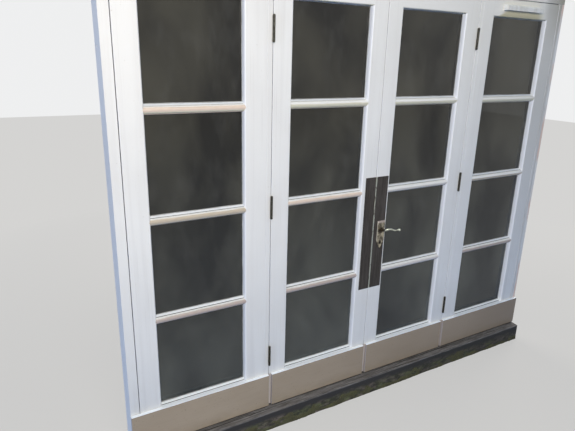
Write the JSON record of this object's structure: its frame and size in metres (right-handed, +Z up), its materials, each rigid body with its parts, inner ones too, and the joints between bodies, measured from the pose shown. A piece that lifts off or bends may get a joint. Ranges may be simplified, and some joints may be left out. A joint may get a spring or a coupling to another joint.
{
  "type": "french doors",
  "caption": "Pair of outward opening glazed timber doors between fixed side lights, in a frame with a heavy sill, butt hinges, lever lock, bolts and a slot ventilator.",
  "frame": {"origin": "underside of the sill, half way between the two doors' meeting edges, in the plane of the frame's outer face", "axes": "+X across the opening to the right as seen from outside, +Y from the outside into the building, +Z up"},
  "size_m": [2.501, 0.1523, 2.123],
  "materials": {
    "white_paint": "softwood under old white gloss paint",
    "tan_paint": "board under flat grey-brown paint",
    "weathered_timber": "bare weathered timber with moss",
    "bare_timber": "dark bare hardwood",
    "glass": "clear",
    "dark_steel": "dull dark steel",
    "brass": "tarnished brass",
    "lock_steel": "zinc plated",
    "vent_plastic": "white"
  },
  "bodies": {
    "frame": {"sill": "weathered_timber", "head": "white_paint", "left_jamb": "white_paint", "right_jamb": "white_paint", "left_mullion": "white_paint", "right_mullion": "white_paint", "left_light_outer_stile": "white_paint", "left_light_inner_stile": "white_paint", "left_light_top_rail": "white_paint", "left_light_bottom_rail": "white_paint", "left_light_bars": "white_paint", "left_light_weatherboard": "tan_paint", "right_light_outer_stile": "white_paint", "right_light_inner_stile": "white_paint", "right_light_top_rail": "white_paint", "right_light_bottom_rail": "white_paint", "right_light_bars": "white_paint", "right_light_weatherboard": "tan_paint", "side_light_panes": "glass", "side_light_beads": "white_paint", "mullion_hinge_leaves": "dark_steel", "hinge_pins": "dark_steel", "bolt_keeps": "lock_steel", "vent_hood": "vent_plastic", "vent_base": "vent_plastic"},
    "left_door": {"left_door_hinge_stile": "white_paint", "left_door_meeting_stile": "white_paint", "left_door_top_rail": "white_paint", "left_door_bottom_rail": "white_paint", "left_door_bars": "white_paint", "left_door_panes": "glass", "left_door_beads": "white_paint", "left_door_weatherboard": "tan_paint", "left_door_hinge_leaves": "dark_steel", "left_lock_strip": "bare_timber", "strike_plate": "brass", "bolt_plates": "lock_steel"},
    "right_door": {"right_door_hinge_stile": "white_paint", "right_door_meeting_stile": "white_paint", "right_door_top_rail": "white_paint", "right_door_bottom_rail": "white_paint", "right_door_bars": "white_paint", "right_door_panes": "glass", "right_door_beads": "white_paint", "right_door_weatherboard": "tan_paint", "right_door_hinge_leaves": "dark_steel", "right_lock_strip": "bare_timber", "lock_case": "lock_steel", "lock_forend": "brass", "outside_plate": "brass", "inside_plate": "brass", "plate_screws": "brass"},
    "lever": {"outside_lever": "brass", "inside_lever": "brass", "spindle": "lock_steel"},
    "latch_bolt": {"latch_bolt": "lock_steel"},
    "dead_bolt": {"dead_bolt": "lock_steel"},
    "top_bolt": {"top_bolt": "lock_steel"},
    "bottom_bolt": {"bottom_bolt": "lock_steel"},
    "vent_flap": {"vent_flap": "vent_plastic"}
  },
  "joints": [
    {"name": "left_door", "type": "hinge", "parent": "frame", "child": "left_door", "pos_m": [-0.584, -0.006, 1.1325], "axis": [0, 0, -1], "range_deg": [0, 90]},
    {"name": "right_door", "type": "hinge", "parent": "frame", "child": "right_door", "pos_m": [0.584, -0.006, 1.1325], "axis": [0, 0, 1], "range_deg": [0, 90]},
    {"name": "lever", "type": "hinge", "parent": "right_door", "child": "lever", "pos_m": [0.0525, 0.022, 0.936], "axis": [0, 1, 0], "range_deg": [0, 40], "stiffness_Nm_per_rad": 1, "springref_deg": -28.65},
    {"name": "latch_bolt", "type": "slide", "parent": "right_door", "child": "latch_bolt", "axis": [-1, 0, 0], "range_m": [0, 0.012]},
    {"name": "dead_bolt", "type": "slide", "parent": "right_door", "child": "dead_bolt", "axis": [-1, 0, 0], "range_m": [0, 0.014]},
    {"name": "top_bolt", "type": "slide", "parent": "left_door", "child": "top_bolt", "axis": [0, 0, 1], "range_m": [0, 0.018]},
    {"name": "bottom_bolt", "type": "slide", "parent": "left_door", "child": "bottom_bolt", "axis": [0, 0, -1], "range_m": [0, 0.018]},
    {"name": "vent_flap", "type": "hinge", "parent": "frame", "child": "vent_flap", "pos_m": [0.896, 0.05, 2.0425], "axis": [1, 0, 0], "range_deg": [0, 40]}
  ]
}
